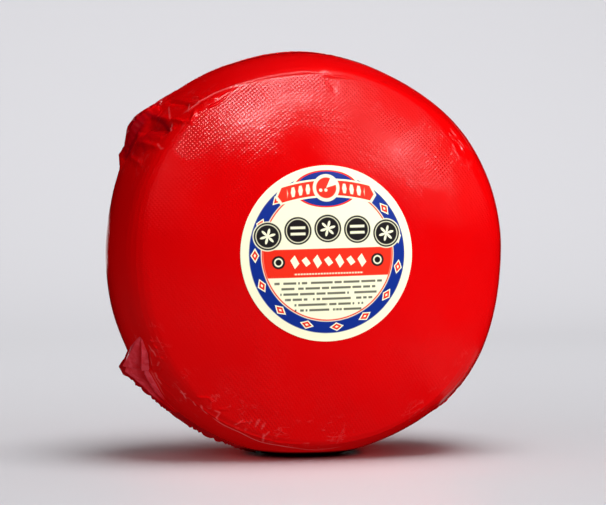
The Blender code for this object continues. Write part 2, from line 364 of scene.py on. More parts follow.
def sharp_outline():
    """(radius, depth) closely spaced from the seam line, over the edge, to the middle of the face."""
    share = np.linspace(0, 1, 500)
    rim_radius = EDGE_RADIUS + (RIM_RADIUS - EDGE_RADIUS) * (1 - share**FULLNESS)
    dome_radius = EDGE_RADIUS * (1 - share[1:])
    dome_depth = EDGE_DEPTH + DOME_RISE * (1 - (dome_radius / EDGE_RADIUS) ** FULLNESS)
    return np.r_[rim_radius, dome_radius], np.r_[EDGE_DEPTH * share, dome_depth]


OUTLINE_RADIUS, OUTLINE_DEPTH = sharp_outline()
OUTLINE_ACROSS = np.r_[0, np.cumsum(np.hypot(np.diff(OUTLINE_RADIUS), np.diff(OUTLINE_DEPTH)))]
FACE_EDGE = float(np.interp(EDGE_DEPTH, OUTLINE_DEPTH, OUTLINE_ACROSS))
FACE_MIDDLE = float(OUTLINE_ACROSS[-1])


def outline_at(across, rounding):
    """Radius and depth this far across from the seam line, with the face's edge rounded this much."""
    window = rounding * np.exp(-(((across - FACE_EDGE) / (2.2 * rounding)) ** 2))
    radius = np.zeros_like(across)
    depth = np.zeros_like(across)
    for step, weight in ((-1, 0.15), (-0.5, 0.2), (0, 0.3), (0.5, 0.2), (1, 0.15)):
        place = across + step * window
        radius += weight * np.interp(place, OUTLINE_ACROSS, OUTLINE_RADIUS)
        depth += weight * np.interp(place, OUTLINE_ACROSS, OUTLINE_DEPTH)
    return radius, depth


def rounding_at(angle):
    """How much the face's edge is rounded at each angle."""
    return np.interp(angle, *zip(*EDGE_ROUNDING))


def across_of(radius, depth):
    """How far across from the seam line a point of the plain wheel is."""
    run = (RIM_RADIUS - OUTLINE_RADIUS) + OUTLINE_DEPTH
    return np.interp((RIM_RADIUS - radius) + depth, run, OUTLINE_ACROSS)


def outward_of(across, rounding):
    """The surface's outward direction as (away from the axis, away from the middle plane)."""
    small = 0.5 * MM
    ahead = outline_at(np.minimum(across + small, FACE_MIDDLE), rounding)
    behind = outline_at(np.maximum(across - small, 0), rounding)
    run_radius, run_depth = ahead[0] - behind[0], ahead[1] - behind[1]
    length = np.hypot(run_radius, run_depth)
    return run_depth / length, -run_radius / length


def out_of_round(angle):
    """How far the cheese is off the round at each angle."""
    return sum(b.height * np.exp(-((turn_from(b.angle, angle) / b.half_width) ** 2)) for b in BULGES)


def tents(angle, across):
    """How far the corners of the bag hold the film off the rim."""
    height = np.zeros_like(angle)
    for corner in CORNERS:
        along_seam = turn_from(corner.angle, angle) * corner.seam_way
        reach = np.where(along_seam > 0, corner.seam_reach, corner.side_reach)
        height += corner.pull * np.maximum(0, 1 - np.abs(along_seam) / reach) ** 2
    return height * np.maximum(0, 1 - np.abs(across) / TENT_HALF_WIDTH) ** TENT_SLACK


def fans(angle, across):
    """Pleats that spread from each corner's tip, with sharp grooves between round backs."""
    height = np.zeros_like(angle)
    for number, corner in enumerate(CORNERS):
        along = np.radians(turn_from(corner.angle, angle)) * RIM_RADIUS
        away = np.hypot(along, across)
        bearing = np.arctan2(across, along)
        wander = 0.5 * np.sin(3 * bearing + number) + 0.35 * np.sin(5 * bearing + 2 * number)
        back = np.abs(np.sin(5.5 * bearing + wander + away / (14 * MM)))
        share = away / corner.pleat_reach
        height += corner.pleats * (back - 0.5) * np.minimum(1, 2.2 * share) * np.exp(-(share**2))
    return height


def crease(angle, across, fold):
    """One crease, highest along its line and gone at its ends."""
    points = [(math.radians(turn_from(fold.places[0][0], a)) * RIM_RADIUS, c * MM) for a, c in fold.places]
    along = np.radians(turn_from(fold.places[0][0], angle)) * RIM_RADIUS
    lengths = [math.dist(a, b) for a, b in zip(points, points[1:])]
    whole = sum(lengths)
    height = np.zeros_like(angle)
    before = 0.0
    for (start, end), length in zip(zip(points, points[1:]), lengths):
        way = ((end[0] - start[0]) / length, (end[1] - start[1]) / length)
        run = np.clip((along - start[0]) * way[0] + (across - start[1]) * way[1], 0, length)
        away = np.hypot(along - start[0] - run * way[0], across - start[1] - run * way[1])
        share = (before + run) / whole
        taper = np.minimum(1, 6 * np.minimum(share, 1 - share)) ** 0.7
        height = np.maximum(height, taper * np.maximum(0, 1 - away / fold.width) ** 1.6)
        before += length
    return fold.height * height


def wrinkle_folds():
    """Short creases scattered round each corner, pointing roughly at its tip."""
    draw = np.random.default_rng(SEED)
    creases = []
    for corner in CORNERS:
        strength = 0.4 + 0.6 * corner.pull / CORNERS[0].pull
        for _ in range(int(WRINKLES_AT_A_CORNER * strength)):
            bearing = draw.uniform(0, math.tau)
            near = draw.uniform(5, 30) * strength
            far = near + draw.uniform(3, 8)
            bend = draw.uniform(-0.25, 0.25)
            places = []
            for away, turn in ((near, 0), ((near + far) / 2, bend), (far, 0)):
                along = away * math.cos(bearing + turn)
                across = away * math.sin(bearing + turn)
                places.append((corner.angle + math.degrees(along * MM / RIM_RADIUS), across))
            height = draw.uniform(0.08, 0.24) * draw.choice((-1, 1)) * MM * strength
            creases.append(Fold(places, draw.uniform(0.9, 1.6) * MM, height))
    return creases


def gathers(angle, across):
    """Small puckers across the seams, where the film is sealed."""
    seams = np.maximum.reduce([band_between(angle, *span, 4) for span in PUCKERED_SPANS])
    along = np.radians(angle) * RIM_RADIUS
    wave = np.sin(along / (1.1 * MM) + 1.7 * np.sin(along / (6 * MM)))
    rough = 0.5 + 0.5 * np.sin(along / (9 * MM) + 1.3)
    return 0.16 * MM * seams * rough * wave * np.exp(-np.abs(across) / (5 * MM))


def unevenness(x, y, z):
    """Slow swells of the cheese under the film, and a little quicker ripples."""
    draw = np.random.default_rng(SEED + 1)
    height = np.zeros_like(x)
    for length, size in ((70 * MM, 0.22 * MM), (30 * MM, 0.06 * MM), (13 * MM, 0.015 * MM)):
        for _ in range(UNEVEN_WAVES):
            way = draw.normal(size=3)
            way *= math.tau / (length * draw.uniform(0.7, 1.5) * np.linalg.norm(way))
            height += size / 3 * np.sin(x * way[0] + y * way[1] + z * way[2] + draw.uniform(0, math.tau))
    return height


def on_back(fold, share=1):
    """The same crease on the other side of the rim, at a share of its height."""
    return Fold([(angle, -across) for angle, across in fold.places], fold.width, fold.height * share)


ALL_FOLDS = (
    *UPPER_LEFT_FOLDS,
    *LOWER_LEFT_FOLDS,
    *EDGE_FOLDS,
    *(on_back(fold) for fold in UPPER_LEFT_FOLDS[1:7] + LOWER_LEFT_FOLDS[:2]),
    *(on_back(fold, 0.8) for fold in EDGE_FOLDS[:2]),
    *(Fold(f.places, f.width, GLINT_LINE_HEIGHT * f.height) for f in GLINT_LINES),
    *wrinkle_folds(),
)


def film_lift(angle, across):
    """How far the film stands off the plain wheel, along its own outward direction."""
    lift = tents(angle, across) + fans(angle, across) + gathers(angle, across)
    for fold in ALL_FOLDS:
        lift += crease(angle, across, fold)
    return lift


def on_film(angle, across, least_lift=None, lining=0.0):
    """Points on the finished film as x, y, z, or off it where least_lift or the lining says so."""
    rounding = rounding_at(angle)
    radius, depth = outline_at(np.abs(across), rounding)
    out_radius, out_depth = outward_of(np.abs(across), rounding)
    outer_share = np.minimum(1, radius / EDGE_RADIUS) ** 2
    radius = radius + out_of_round(angle) * outer_share
    turn = np.radians(angle)
    side = np.where(across >= 0, -1.0, 1.0)
    x, y, z = radius * np.cos(turn), side * depth, radius * np.sin(turn)
    lift = film_lift(angle, across) + lining
    if least_lift is not None:
        lift = np.maximum(lift, least_lift)
    lift = lift + unevenness(x, y, z)
    x = x + lift * out_radius * np.cos(turn)
    z = z + lift * out_radius * np.sin(turn)
    y = y + side * lift * out_depth
    return np.clip(np.stack((x + AXIS_X, y + AXIS_Y, z + AXIS_Z), axis=-1), *CAD_BOX)


def places_of(points):
    """The angle and the place across of points on the plain wheel about its own axis."""
    x, y, z = points.T
    across = across_of(np.hypot(x, z), np.abs(y))
    return np.degrees(np.arctan2(z, x)), np.where(y <= 0, across, -across)


def select_only(*pieces):
    """Selects these pieces and makes the first one active."""
    bpy.ops.object.select_all(action="DESELECT")
    for piece in pieces:
        piece.select_set(True)
    bpy.context.view_layer.objects.active = pieces[0]


def edit_mesh(select, kind="VERT"):
    """Goes into edit mode with all or nothing selected."""
    bpy.ops.object.mode_set(mode="EDIT")
    bpy.ops.mesh.select_mode(type=kind)
    bpy.ops.mesh.select_all(action="SELECT" if select else "DESELECT")


def leave_mesh():
    """Goes back to object mode with nothing selected in the mesh."""
    bpy.ops.mesh.select_all(action="DESELECT")
    bpy.ops.mesh.select_mode(type="VERT")
    bpy.ops.object.mode_set(mode="OBJECT")


def start_piece(name, add_primitive, **settings):
    """Adds a primitive at the origin with nothing else selected."""
    bpy.ops.object.select_all(action="DESELECT")
    add_primitive(**settings)
    piece = bpy.context.object
    piece.name = name
    piece.data.name = name
    return piece


def points_of(piece):
    """The mesh's own points as an array."""
    points = np.empty(len(piece.data.vertices) * 3)
    piece.data.vertices.foreach_get("co", points)
    return points.reshape(-1, 3)


def move_points(piece, points):
    """Puts the mesh's points where they belong."""
    piece.data.vertices.foreach_set("co", np.ascontiguousarray(points, dtype=np.float32).ravel())
    piece.data.update()


def spun_shell(name, outline, steps):
    """Draws an outline by extruding one point along it, then spins it about Y into a closed shell."""
    piece = start_piece(name, bpy.ops.mesh.primitive_plane_add, size=MM)
    edit_mesh(select=True)
    bpy.ops.mesh.merge(type="CENTER")
    bpy.ops.transform.translate(value=(outline[0][0], outline[0][1], 0))
    for (x1, y1), (x2, y2) in zip(outline, outline[1:]):
        bpy.ops.mesh.extrude_vertices_move(TRANSFORM_OT_translate={"value": (x2 - x1, y2 - y1, 0)})
    bpy.ops.mesh.select_all(action="SELECT")
    bpy.ops.mesh.spin(steps=steps, angle=math.tau, center=(0, 0, 0), axis=(0, 1, 0))
    bpy.ops.mesh.select_all(action="SELECT")
    bpy.ops.mesh.remove_doubles(threshold=1e-6)
    bpy.ops.mesh.normals_make_consistent(inside=False)
    leave_mesh()
    return piece


def divide_where(piece, wanted):
    """Subdivides the faces whose middles are wanted."""
    middles = np.empty(len(piece.data.polygons) * 3)
    piece.data.polygons.foreach_get("center", middles)
    chosen = wanted(*places_of(middles.reshape(-1, 3)))
    edit_mesh(select=False, kind="FACE")
    bpy.ops.object.mode_set(mode="OBJECT")
    piece.data.polygons.foreach_set("select", chosen)
    bpy.ops.object.mode_set(mode="EDIT")
    bpy.ops.mesh.subdivide(number_cuts=1)
    leave_mesh()


def finish_piece(piece, material, smooth=50):
    """Gives a finished mesh its material, smooth shading up to this angle and its body."""
    piece.data.materials.clear()
    piece.data.materials.append(material)
    select_only(piece)
    bpy.ops.object.shade_smooth_by_angle(angle=math.radians(smooth))
    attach(piece, "root")


def apply_modifier(piece, kind, **settings):
    """Adds one modifier to a piece and applies it."""
    select_only(piece)
    modifier = piece.modifiers.new(kind.title(), kind)
    for name, value in settings.items():
        setattr(modifier, name, value)
    bpy.ops.object.modifier_apply(modifier=modifier.name)


def maths(operation):
    """A method that adds one Math node."""
    return lambda self, *others: self.shader.add("ShaderNodeMath", {"operation": operation}, (self, *others))


class Wire:
    """One value in a material. Arithmetic on it adds the Math nodes that work it out."""

    def __init__(self, shader, socket):
        self.shader = shader
        self.socket = socket

    __add__ = __radd__ = maths("ADD")
    __sub__ = maths("SUBTRACT")
    __mul__ = __rmul__ = maths("MULTIPLY")
    __truediv__ = maths("DIVIDE")
    __pow__ = maths("POWER")
    __abs__ = maths("ABSOLUTE")
    sine = maths("SINE")
    root = maths("SQRT")
    arctan2 = maths("ARCTAN2")
    modulo = maths("FLOORED_MODULO")
    floor = maths("FLOOR")
    least = maths("MINIMUM")
    most = maths("MAXIMUM")

    def __rsub__(self, other):
        return self.shader.add("ShaderNodeMath", {"operation": "SUBTRACT"}, (other, self))

    def ramp(self, low, high):
        """0 below low, 1 above high, or the other way round where low is the larger."""
        settings = {"interpolation_type": "SMOOTHSTEP"}
        return self.shader.add("ShaderNodeMapRange", settings, (self, low, high))


class Shader:
    """A Principled material whose patterns are written as expressions."""

    def __init__(self, name, **constants):
        self.material = bpy.data.materials.new(name)
        self.material.use_nodes = True
        self.tree = self.material.node_tree
        self.surface = self.tree.nodes["Principled BSDF"]
        for socket, value in constants.items():
            self.surface.inputs[socket.replace("_", " ")].default_value = value

    def connect(self, value, socket):
        """Links a wire to a socket, or sets the socket to a plain value."""
        if isinstance(value, Wire):
            self.tree.links.new(value.socket, socket)
        else:
            socket.default_value = value

    def add(self, kind, settings=None, values=(), output=0):
        """Adds any node. Values are its inputs in order, or by name or place in a dictionary."""
        node = self.tree.nodes.new(kind)
        for name, value in (settings or {}).items():
            setattr(node, name, value)
        pairs = values.items() if isinstance(values, dict) else enumerate(values)
        for key, value in pairs:
            self.connect(value, node.inputs[key])
        return Wire(self, node.outputs[output])

    def position(self):
        """The piece's own x, y and z in metres."""
        place = self.add("ShaderNodeTexCoord", output="Object")
        return place, *(self.add("ShaderNodeSeparateXYZ", values=(place,), output=axis) for axis in range(3))

    def pack(self, x, y, z=0):
        """A vector of three numbers."""
        return self.add("ShaderNodeCombineXYZ", values=(x, y, z))

    def mix(self, share, first, second):
        """The first colour where share is 0 and the second where it is 1."""
        first, second = (c if isinstance(c, Wire) else (*c, 1) for c in (first, second))
        return self.add("ShaderNodeMix", {"data_type": "RGBA"}, {0: share, 6: first, 7: second}, output=2)

    def noise(self, place, size, detail=2.0):
        """Cloudy noise from 0 to 1 with features of this size."""
        values = {"Vector": place, "Scale": 1 / size, "Detail": detail}
        return self.add("ShaderNodeTexNoise", values=values)

    def attribute(self, name):
        """A number painted on the piece's points."""
        return self.add("ShaderNodeAttribute", {"attribute_name": name}, output="Fac")

    def bump(self, height, distance, below=None):
        """A relief of this height in metres, over another one if given."""
        values = {"Strength": 1.0, "Distance": distance, "Height": height}
        if below is not None:
            values["Normal"] = below
        return self.add("ShaderNodeBump", values=values)

    def set(self, socket, value):
        """Feeds one input of the surface."""
        self.connect(value, self.surface.inputs[socket])


def colour_setting(name, description, default):
    """A colour setting."""
    return FloatVectorProperty(name=name, description=description, subtype="COLOR", default=default)


def length_setting(name, description, default):
    """A setting in metres."""
    return FloatProperty(name=name, description=description, unit="LENGTH", default=default)


def angle_setting(name, description, degrees):
    """A setting that is an angle."""
    default = math.radians(degrees)
    return FloatProperty(name=name, description=description, subtype="ANGLE", default=default)


class FilmLook(PropertyGroup):
    """The red film."""

    red: colour_setting("Red", "Colour of the film", paint(216, 2, 4))
    # Deep red is also painted shade: in folds, in a groove of the lower flap and over the seams.
    deep_red: colour_setting("Deep red", "Colour where the film lies double", paint(150, 0, 10))
    taut: colour_setting("Taut film", "Colour of loose film pulled taut", paint(228, 62, 76))
    # Pale is painted highlight: the glints along sharp creases and crinkles.
    pale: colour_setting("Pale crease", "Colour of stretched creases", paint(236, 110, 112))
    roughness: FloatProperty(name="Roughness", description="Blur of the shine", default=0.12, min=0, max=1)
    weave_pitch: length_setting("Weave pitch", "Thread spacing of the cloth print", 1.6 * MM)
    weave_depth: length_setting("Weave depth", "Height of the cloth print", 0.075 * MM)
    weave_turn: angle_setting("Weave turn", "How far the cloth is turned", 38)


class LabelLook(PropertyGroup):
    """The printed label."""

    cream: colour_setting("Cream", "Bare paper", paint(252, 249, 214))
    blue: colour_setting("Blue", "Ring", paint(6, 42, 138))
    red: colour_setting("Red", "Band and lines", paint(238, 44, 22))
    black: colour_setting("Black", "Seals", paint(26, 22, 24))
    print_turn: angle_setting("Print turn", "How far the print is turned", 1.3)


class StudioLook(PropertyGroup):
    """The camera and the studio."""

    azimuth: angle_setting("Azimuth", "Camera's way round", -12.25)
    elevation: angle_setting("Elevation", "Camera's height above level", 2)
    distance: length_setting("Distance", "From the wheel's middle", 1.198)
    lens: FloatProperty(name="Lens", description="Focal length in millimetres", default=126.8)
    floor: colour_setting("Floor", "Floor and backdrop", (0.578, 0.573, 0.6))


def turned(x, z, angle):
    """The same place in axes that are turned by an angle."""
    cos_turn, sin_turn = math.cos(angle), math.sin(angle)
    return x * cos_turn + z * sin_turn, z * cos_turn - x * sin_turn


def film_material(look):
    """Glossy red film with a cloth weave pressed into it from the cheese."""
    shader = Shader("red_film", IOR=1.5, Specular_IOR_Level=0.25)
    place, x, y, z = shader.position()
    x, y, z = x - AXIS_X, y - AXIS_Y, z - AXIS_Z
    radius = (x * x + z * z).root()
    slow = shader.noise(place, 60 * MM)
    fine = shader.noise(place, 9 * MM, detail=4)
    drift = (slow - 0.5) * (6 * MM)
    warp, weft = (thread + drift for thread in turned(x, z, look.weave_turn))
    turns = math.tau / look.weave_pitch
    knots = ((warp * turns).sine() + 1) * ((weft * turns).sine() + 1) * 0.25
    patchy = shader.noise(place, 25 * MM, detail=3).ramp(0.3, 0.6)
    outer = radius.ramp(0.035, 0.07) * radius.ramp(0.1035, 0.098)
    weave = knots * abs(y).ramp(0.03, 0.04) * (0.3 + 0.7 * patchy) * (0.25 + 0.75 * outer)
    weave = weave + knots * shader.attribute("woven") * 1.8
    run, across = z.arctan2(x) * RIM_RADIUS, radius - abs(y)
    strokes = abs(shader.noise(shader.pack(run * 0.22, across), 5 * MM) - 0.5).ramp(0.032, 0.0)
    slanted = shader.pack(run * 0.8 + across * 0.6, (across - run) * 0.25, 3)
    strokes = strokes.most(abs(shader.noise(slanted, 6 * MM) - 0.5).ramp(0.03, 0.0) * 0.7)
    ridges = strokes * shader.attribute("crinkle") * shader.noise(place, 7 * MM).ramp(0.54, 0.6)
    pulled = shader.noise(shader.pack(run * 0.3, across), 3.5 * MM) * patchy
    relief = shader.bump(weave, look.weave_depth)
    relief = shader.bump(fine, 0.02 * MM, relief)
    relief = shader.bump(pulled, 0.16 * MM, relief)
    relief = shader.bump(ridges, 0.2 * MM, relief)
    colour = shader.mix(slow.ramp(0.3, 0.7) * 0.1, look.red, look.deep_red)
    # Painted shade: deep red where folds lie in two layers and in the shade of the folds.
    colour = shader.mix(shader.attribute("double_and_in_shade"), colour, look.deep_red)
    # Painted highlight: the crinkle ridges and the glint lines are drawn in the pale colour, as the glints
    # they would catch.
    colour = shader.mix((ridges * 0.25).most(shader.attribute("pale") * 0.8), colour, look.pale)
    shader.set("Base Color", colour)
    shader.set("Roughness", look.roughness + 0.06 * (fine - 0.5) + 0.04 * patchy)
    shader.set("Normal", relief)
    return shader.material


def flap_material(look, name):
    """Loose film, without the cloth print, paler where it is pulled taut."""
    shader = Shader(name, IOR=1.5, Specular_IOR_Level=0.25)
    place = shader.position()[0]
    fine = shader.noise(place, 4 * MM, detail=4)
    slow = shader.noise(place, 12 * MM)
    colour = shader.mix(slow.ramp(0.35, 0.65) * 0.3, look.red, look.deep_red)
    colour = shader.mix(shader.attribute("taut") * (0.55 + 0.45 * fine.ramp(0.38, 0.62)), colour, look.taut)
    # Painted shade: deep red in the folds, in the lower flap's groove and over the seams.
    colour = shader.mix(shader.attribute("double_and_in_shade"), colour, look.deep_red)
    shader.set("Base Color", colour)
    shader.set("Roughness", look.roughness + 0.12 * fine)
    shader.set("Normal", shader.bump(fine, 0.12 * MM))
    return shader.material


def spaced(rows):
    """Places across from a table of (millimetres, rows up to the next)."""
    parts = [np.linspace(a, b, count, endpoint=False) for (a, count), (b, _) in zip(rows, rows[1:])]
    return np.r_[(*parts, rows[-1][0])] * MM


def side_outline(rows):
    """The plain outline of one side as (radius, depth) pairs that end on the axis."""
    radius, depth = outline_at(np.minimum(spaced(rows), FACE_MIDDLE), 1.6 * MM)
    radius[-1] = 0
    return list(zip(radius.tolist(), depth.tolist()))


class CHEESE_OT_film(Operator):
    """Make the wheel in its film"""

    bl_idname = "cheese.film"
    bl_label = "Film-wrapped wheel"

    def execute(self, context):
        back = side_outline(BACK_ROWS)[::-1]
        front = [(r, -d) for r, d in side_outline(FRONT_ROWS)[1:]]
        piece = spun_shell("film_wheel", back + front, FILM_STEPS)
        divide_where(piece, is_dense)
        angle, across = places_of(points_of(piece))
        move_points(piece, on_film(angle, across))
        paint_film(piece, angle, across)
        finish_piece(piece, film_material(context.scene.cheese_film))
        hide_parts("wrapped_wheel")
        return {"FINISHED"}


def is_dense(angle, across):
    """Whether a place is where the film is folded most."""
    inside = [(angle > start) & (angle < end) for start, end in DENSE_SPANS]
    return (inside[0] | inside[1]) & (across > -12 * MM) & (across < FACE_EDGE + 6 * MM)


def paint_film(piece, angle, across):
    """Marks where the film is crinkled, where its folds lie in two layers with painted shade, and where pale
    lines of painted highlight run.
    """
    crinkle = np.zeros_like(angle)
    for start, end, near, far, share in CRINKLED:
        inside = band_between(angle, start, end, 6) * band_between(across / MM, near, far, 5)
        crinkle = np.maximum(crinkle, share * inside)
    paint_points(piece, "crinkle", crinkle)
    paint_points(piece, "double_and_in_shade", painted(angle, across, DOUBLED_AND_SHADED))
    paint_points(piece, "pale", painted(angle, across, GLINT_LINES))
    woven = np.zeros_like(angle)
    for middle, place, length, width, share in WOVEN:
        away = np.hypot(turn_from(middle, angle) / length, (across / MM - place) / width)
        woven = np.maximum(woven, share * np.clip(1.6 - 1.6 * away, 0, 1))
    paint_points(piece, "woven", woven)


def painted(angle, across, lines):
    """How strongly a place is marked by lines whose height is a share."""
    return np.clip(np.maximum.reduce([crease(angle, across, line) for line in lines]), 0, 1)


def paint_points(piece, name, values):
    """Stores a number for each point of a piece."""
    layer = piece.data.attributes.new(name, "FLOAT", "POINT")
    layer.data.foreach_set("value", np.ascontiguousarray(values, dtype=np.float32))


def start_grid(name, columns, rows):
    """A flat grid, and the place of each of its points along its columns and rows, from 0 to 1."""
    settings = {"x_subdivisions": columns, "y_subdivisions": rows, "size": 2}
    piece = start_piece(name, bpy.ops.mesh.primitive_grid_add, **settings)
    points = points_of(piece)
    return piece, (points[:, 0] + 1) / 2, (points[:, 1] + 1) / 2


def add_flap(name, ribs, taut_share):
    """Stretches a sheet of film over ribs, with straight creases from rib to rib."""
    ribs = np.array(ribs)
    count, places = len(ribs) - 1, len(ribs[0]) - 1
    piece, along, over = start_grid(name, count * FLAP_CELLS, places * FLAP_CELLS)
    rib = np.minimum((along * count).astype(int), count - 1)
    place = np.minimum((over * places).astype(int), places - 1)
    rib_share = (along * count - rib)[:, None]
    place_share = (over * places - place)[:, None]
    first = ribs[rib, place] * (1 - place_share) + ribs[rib, place + 1] * place_share
    second = ribs[rib + 1, place] * (1 - place_share) + ribs[rib + 1, place + 1] * place_share
    angle, across, lift = (first * (1 - rib_share) + second * rib_share).T
    feet = np.minimum(over, 1 - over) * places
    lining = np.where(feet < 0.01, -FLAP_TUCK, FLAP_LINING)
    pucker = crumple(angle, across) * np.clip(feet, 0, 1)
    lift = np.where(feet < 0.01, 0, lift * MM + pucker)
    move_points(piece, on_film(angle, across * MM, lift, lining))
    # Painted shade: on the lower flap, the groove along the ribs' middle points is drawn less pale and deeper
    # red.
    groove = np.exp(-(((over * places - 2) / 0.3) ** 2))
    paint_points(piece, "taut", taut_share * band_between(angle, -160, -139, 4) * (1 - 0.8 * groove))
    paint_points(piece, "double_and_in_shade", np.maximum(painted(angle, across * MM, DOUBLED_AND_SHADED), 0.6 * taut_share * groove))
    apply_modifier(piece, "SOLIDIFY", thickness=FLAP_WALL, offset=0)
    return piece


def crumple(angle, across):
    """Small uneven creases of loose film."""
    along = np.radians(angle) * RIM_RADIUS / MM
    wave = np.sin(along * 1.9 + 1.3 * np.sin(across * 0.7)) + np.sin(across * 1.7 + along * 0.8)
    return 0.1 * MM * wave


class CHEESE_OT_flaps(Operator):
    """Make the loose film at the two left corners"""

    bl_idname = "cheese.flaps"
    bl_label = "Corner flaps"

    def execute(self, context):
        look = context.scene.cheese_film
        for name, ribs, share in (("lower_flap", LOWER_FLAP, 1.0), ("upper_flap", UPPER_FLAP, 0.0)):
            piece = add_flap(name, ribs, share)
            finish_piece(piece, flap_material(look, name), smooth=14)
            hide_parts("wrapped_wheel")
        return {"FINISHED"}


def seam_profile(angle):
    """How far the seam's edge stands off the round wheel, with small scallops where it is tall."""
    angles, heights = zip(*SEAM_TOP)
    height = np.interp(angle, angles, heights)
    along = np.radians(angle) * RIM_RADIUS / MM
    scallop = np.abs(np.sin(along * 0.55 + 1.6 * np.sin(along * 0.21) + 0.9 * np.sin(along * 0.47))) - 0.5
    nick = np.sin(along * 2.3 + 2.5 * np.sin(along * 0.6)) * np.maximum(0, np.sin(along * 0.31 + 1))
    lower = band_between(angle, -152, -106, 2)
    uneven = 0.6 + 0.4 * np.sin(along * 0.13)
    return (height + (0.15 + 1.05 * lower) * uneven * scallop + (0.08 + 0.25 * lower) * nick) * MM


class CHEESE_OT_seams(Operator):
    """Make the thin sealed seams along the middle of the rim"""

    bl_idname = "cheese.seams"
    bl_label = "Sealed seams"

    def execute(self, context):
        parts = [seam_strip(f"seam_{number}", *run) for number, run in enumerate(SEAM_RUNS)]
        piece = parts[0]
        select_only(*parts)
        bpy.ops.object.join()
        piece.name = piece.data.name = "film_seams"
        # Painted shade: the seams are drawn deep red all over, for their two sealed layers and the shade
        # along them.
        paint_points(piece, "double_and_in_shade", np.full(len(piece.data.vertices), 0.85))
        apply_modifier(piece, "SOLIDIFY", thickness=SEAM_WALL, offset=0)
        material = flap_material(context.scene.cheese_film, "seam_film")
        finish_piece(piece, material, smooth=40)
        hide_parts("wrapped_wheel")
        return {"FINISHED"}


def seam_strip(name, start, end):
    """One stretch of seam, which stands up from the film and wanders from side to side."""
    piece, along, up = start_grid(name, int((end - start) / SEAM_CELL), SEAM_ROWS)
    angle = start + (end - start) * along
    run = np.radians(angle) * RIM_RADIUS / MM
    tall = seam_profile(angle)
    sway = np.sin(run * 0.33) + 0.6 * np.sin(run * 0.83 + 1) + 0.5 * np.sin(run * 1.9 + 2)
    across = up**1.5 * sway * np.minimum(0.12 * tall, 0.5 * MM)
    base = film_lift(angle, np.zeros_like(angle)) - SEAM_SINK
    height = base + (np.maximum(tall, base) - base) * up
    move_points(piece, on_film(angle, across, height, lining=-1))
    return piece


class CHEESE_OT_label(Operator):
    """Make the round paper label"""

    bl_idname = "cheese.label"
    bl_label = "Paper label"

    def execute(self, context):
        rings = np.linspace(0, LABEL_RADIUS, 40)
        outline = [(r, 0.0) for r in rings] + [(r, LABEL_THICKNESS) for r in reversed(rings)]
        piece = spun_shell("paper_label", outline, 180)
        points = points_of(piece)
        x, z = points[:, 0] + LABEL_ASIDE, points[:, 2] + LABEL_UP
        radius = np.hypot(x, z)
        across = np.interp(-radius, -OUTLINE_RADIUS, OUTLINE_ACROSS)
        film = on_film(np.degrees(np.arctan2(z, x)), across)
        lift = np.where(points[:, 1] > LABEL_THICKNESS / 2, LABEL_UNDER, LABEL_OVER)
        move_points(piece, np.stack((x + AXIS_X, film[:, 1] - lift, z + AXIS_Z), axis=-1))
        finish_piece(piece, label_material(context.scene.cheese_label))
        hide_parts("label")
        return {"FINISHED"}


def label_material(look):
    """Satin printed paper."""
    shader = Shader("label_paper", IOR=1.45, Roughness=0.38, Specular_IOR_Level=0.3)
    shader.set("Coat Weight", 0.05)
    shader.set("Coat Roughness", 0.2)
    place, x, y, z = shader.position()
    x = (x - (AXIS_X + LABEL_ASIDE)) / LABEL_RADIUS
    z = (z - (AXIS_Z + LABEL_UP)) / LABEL_RADIUS
    u, v = turned(x, z, look.print_turn)
    radius = (u * u + v * v).root()
    colour = ring_print(shader, look, u, v, radius)
    colour = small_print(shader, look, u, v, colour)
    colour = band_print(shader, look, u, v, radius, colour)
    colour = emblem_print(shader, look, u, v, colour)
    shader.set("Base Color", seal_print(shader, look, u, v, colour))
    shader.set("Normal", shader.bump(shader.noise(place, 1.2 * MM, detail=4), 0.012 * MM))
    return shader.material


INK_EDGE = 0.006  # how soft the print's edges are, as a share of the label's radius


def within(value, limit):
    """1 where a value is below a limit, with a soft edge."""
    return value.ramp(limit + INK_EDGE, limit - INK_EDGE)


def between(value, low, high):
    """1 where a value lies between two limits, with soft edges."""
    return within(value, high) * value.ramp(low - INK_EDGE, low + INK_EDGE)


def inked(shader, colour, value, *inks):
    """Layers of ink one inside the other, each as (limit of the value, colour)."""
    for limit, ink in inks:
        colour = shader.mix(within(value, limit), colour, ink)
    return colour


def ring_print(shader, look, u, v, radius):
    """Bare paper with a wide ring near its rim, lozenges in the ring, and a thin line inside it."""
    colour = shader.mix(between(radius, 0.772, 0.905), look.cream, look.blue)
    sector = math.tau / 15
    along = (v.arctan2(u).modulo(sector) - sector / 2) * radius
    lozenge = abs(along) / 0.085 + abs(radius - 0.839) / 0.050
    colour = inked(shader, colour, lozenge, (1.0, look.cream), (0.72, look.red), (0.26, look.cream))
    return shader.mix(between(radius, 0.748, 0.764), colour, look.red)


def small_print(shader, look, u, v, colour):
    """Rows of short dark dashes that stand for small print."""
    spacing, first = 0.062, -0.325
    row = ((first + spacing / 2 - v) / spacing).floor()
    height = abs((first + spacing / 2 - v).modulo(spacing) - spacing / 2)
    cell = (u / 0.021).floor()
    chance = shader.add("ShaderNodeTexWhiteNoise", {"noise_dimensions": "2D"}, (shader.pack(cell, row),))
    length = shader.add("ShaderNodeTexWhiteNoise", {"noise_dimensions": "1D"}, {"W": row}, output="Value")
    reach = 0.58 - 0.045 * row + 0.08 * length
    ink = chance.ramp(0.16, 0.2) * within(height, 0.013) * within(abs(u), reach) * between(v, -0.665, -0.29)
    return shader.mix(ink * 0.85, colour, look.black)


